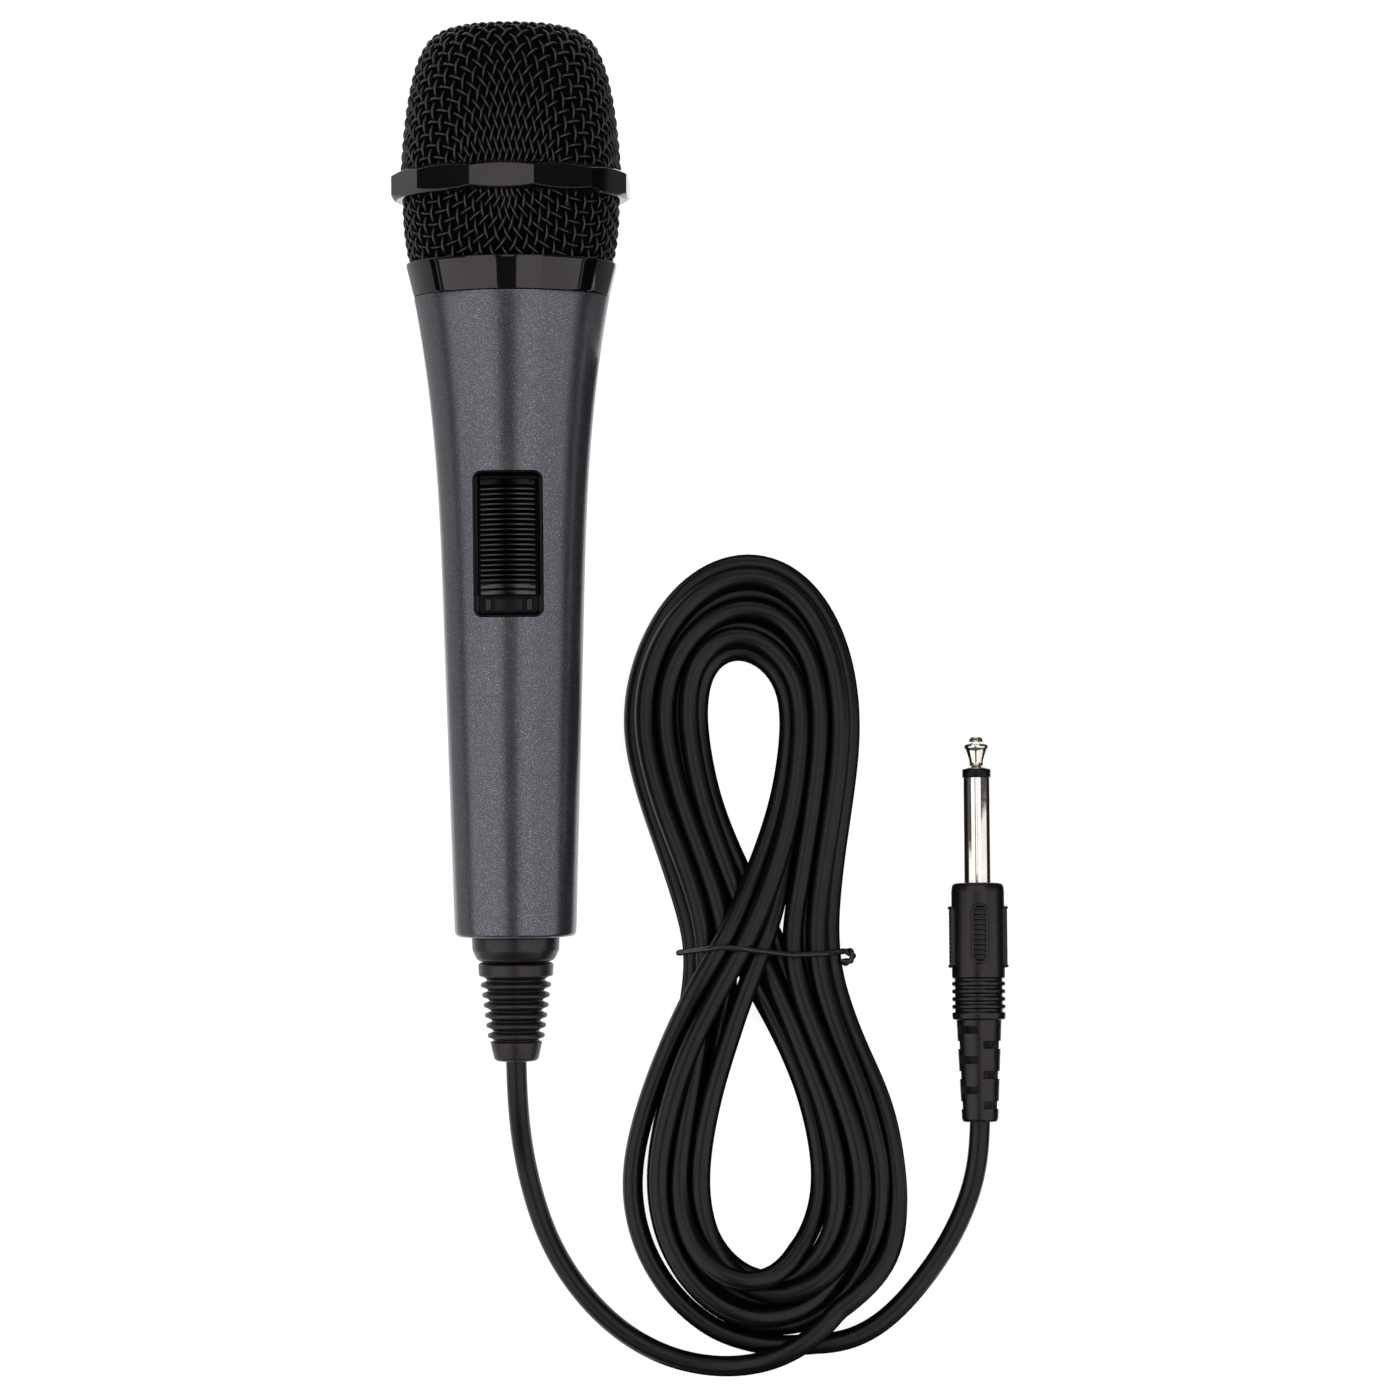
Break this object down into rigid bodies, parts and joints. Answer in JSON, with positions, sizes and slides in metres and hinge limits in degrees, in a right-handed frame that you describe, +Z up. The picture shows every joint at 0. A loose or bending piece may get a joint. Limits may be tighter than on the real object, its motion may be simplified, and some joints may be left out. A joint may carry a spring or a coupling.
{
  "type": "dynamic microphone",
  "caption": "Corded hand-held vocal microphone with a woven ball grille, a faceted band, a slide switch, a ribbed strain relief and a quarter-inch plug on a hanked cord.",
  "frame": {"origin": "on the table under the middle of the microphone, without its cord and plug", "axes": "+Y along the microphone towards its head, +Z up from the table with the switch on top, +X towards the coiled cord"},
  "size_m": [0.1421, 0.3147, 0.0547],
  "materials": {
    "handle_paint": "satin metallic dark grey paint with a fine sparkle",
    "black_gloss": "glossy moulded black",
    "black_matte": "moulded black, semi matt",
    "black_wire": "black coated woven steel wire",
    "foam": "open-cell black foam or felt",
    "rubber": "soft black rubber, satin",
    "cord_jacket": "black flexible cord jacket, satin",
    "nickel": "bright nickel plate",
    "steel": "plain steel",
    "brass": "turned brass",
    "magnet": "nickel-plated magnet",
    "film": "thin clear film",
    "copper": "enamelled copper wire",
    "board": "brown resin board",
    "hot_wire": "red insulated wire",
    "cold_wire": "white insulated wire",
    "tie": "black plastic-coated wire"
  },
  "bodies": {
    "handle": {"handle_shell": "handle_paint", "switch_bezel": "black_gloss", "capsule_basket": "black_matte", "capsule_cap": "black_matte", "tail_gland": "black_matte", "cable_clamp": "black_matte", "plug_insulator": "black_matte", "plug_moulding": "black_matte", "acoustic_felt": "foam", "capsule_shock_mount": "rubber", "strain_relief_boot": "rubber", "cord_inner": "cord_jacket", "cord_lead": "cord_jacket", "cord_hank": "cord_jacket", "cord_tail": "cord_jacket", "plug_cord_core": "cord_jacket", "plug_tip": "nickel", "plug_sleeve": "nickel", "yoke_pot": "steel", "pole_plate": "steel", "switch_case": "steel", "switch_screw_1": "steel", "switch_screw_2": "steel", "gland_nut": "steel", "neck_ring": "brass", "capsule_terminal_1": "brass", "capsule_terminal_2": "brass", "switch_terminal_1": "brass", "switch_terminal_2": "brass", "plug_tip_lug": "brass", "plug_sleeve_lug": "brass", "magnet": "magnet", "terminal_board": "board", "capsule_hot_wire": "hot_wire", "hot_wire": "hot_wire", "cold_wire": "cold_wire", "cord_tie": "tie"},
    "head_riser": {"head_gasket": "rubber"},
    "head": {"head_collar": "black_gloss", "lower_grille": "black_wire", "grille_band": "black_gloss", "grille_clamp_ring": "steel", "upper_grille": "black_wire", "windscreen_foam_upper": "foam", "windscreen_foam_lower": "foam"},
    "slider": {"switch_slider": "black_gloss", "switch_lever": "steel"},
    "moving_coil": {"diaphragm": "film", "voice_coil": "copper"}
  },
  "joints": [
    {"name": "switch_slide", "type": "slide", "parent": "handle", "child": "slider", "axis": [0, 0.997, 0.0768], "range_m": [-0.0037, 0]},
    {"name": "head_rise", "type": "slide", "parent": "handle", "child": "head_riser", "axis": [0, 0.997, 0.0768], "range_m": [0, 0.00451]},
    {"name": "head_turn", "type": "hinge", "parent": "head_riser", "child": "head", "pos_m": [0, 0.05792, 0.02549], "axis": [0, 0.997, 0.0768], "range_deg": [0, 1080]},
    {"name": "diaphragm_travel", "type": "slide", "parent": "handle", "child": "moving_coil", "axis": [0, 0.997, 0.0768], "range_m": [-0.0003, 0.0003], "stiffness_N_per_m": 60}
  ],
  "couplings": [
    {"joint": "head_rise", "follows": "head_turn", "m_per_rad": 0.00023873}
  ]
}
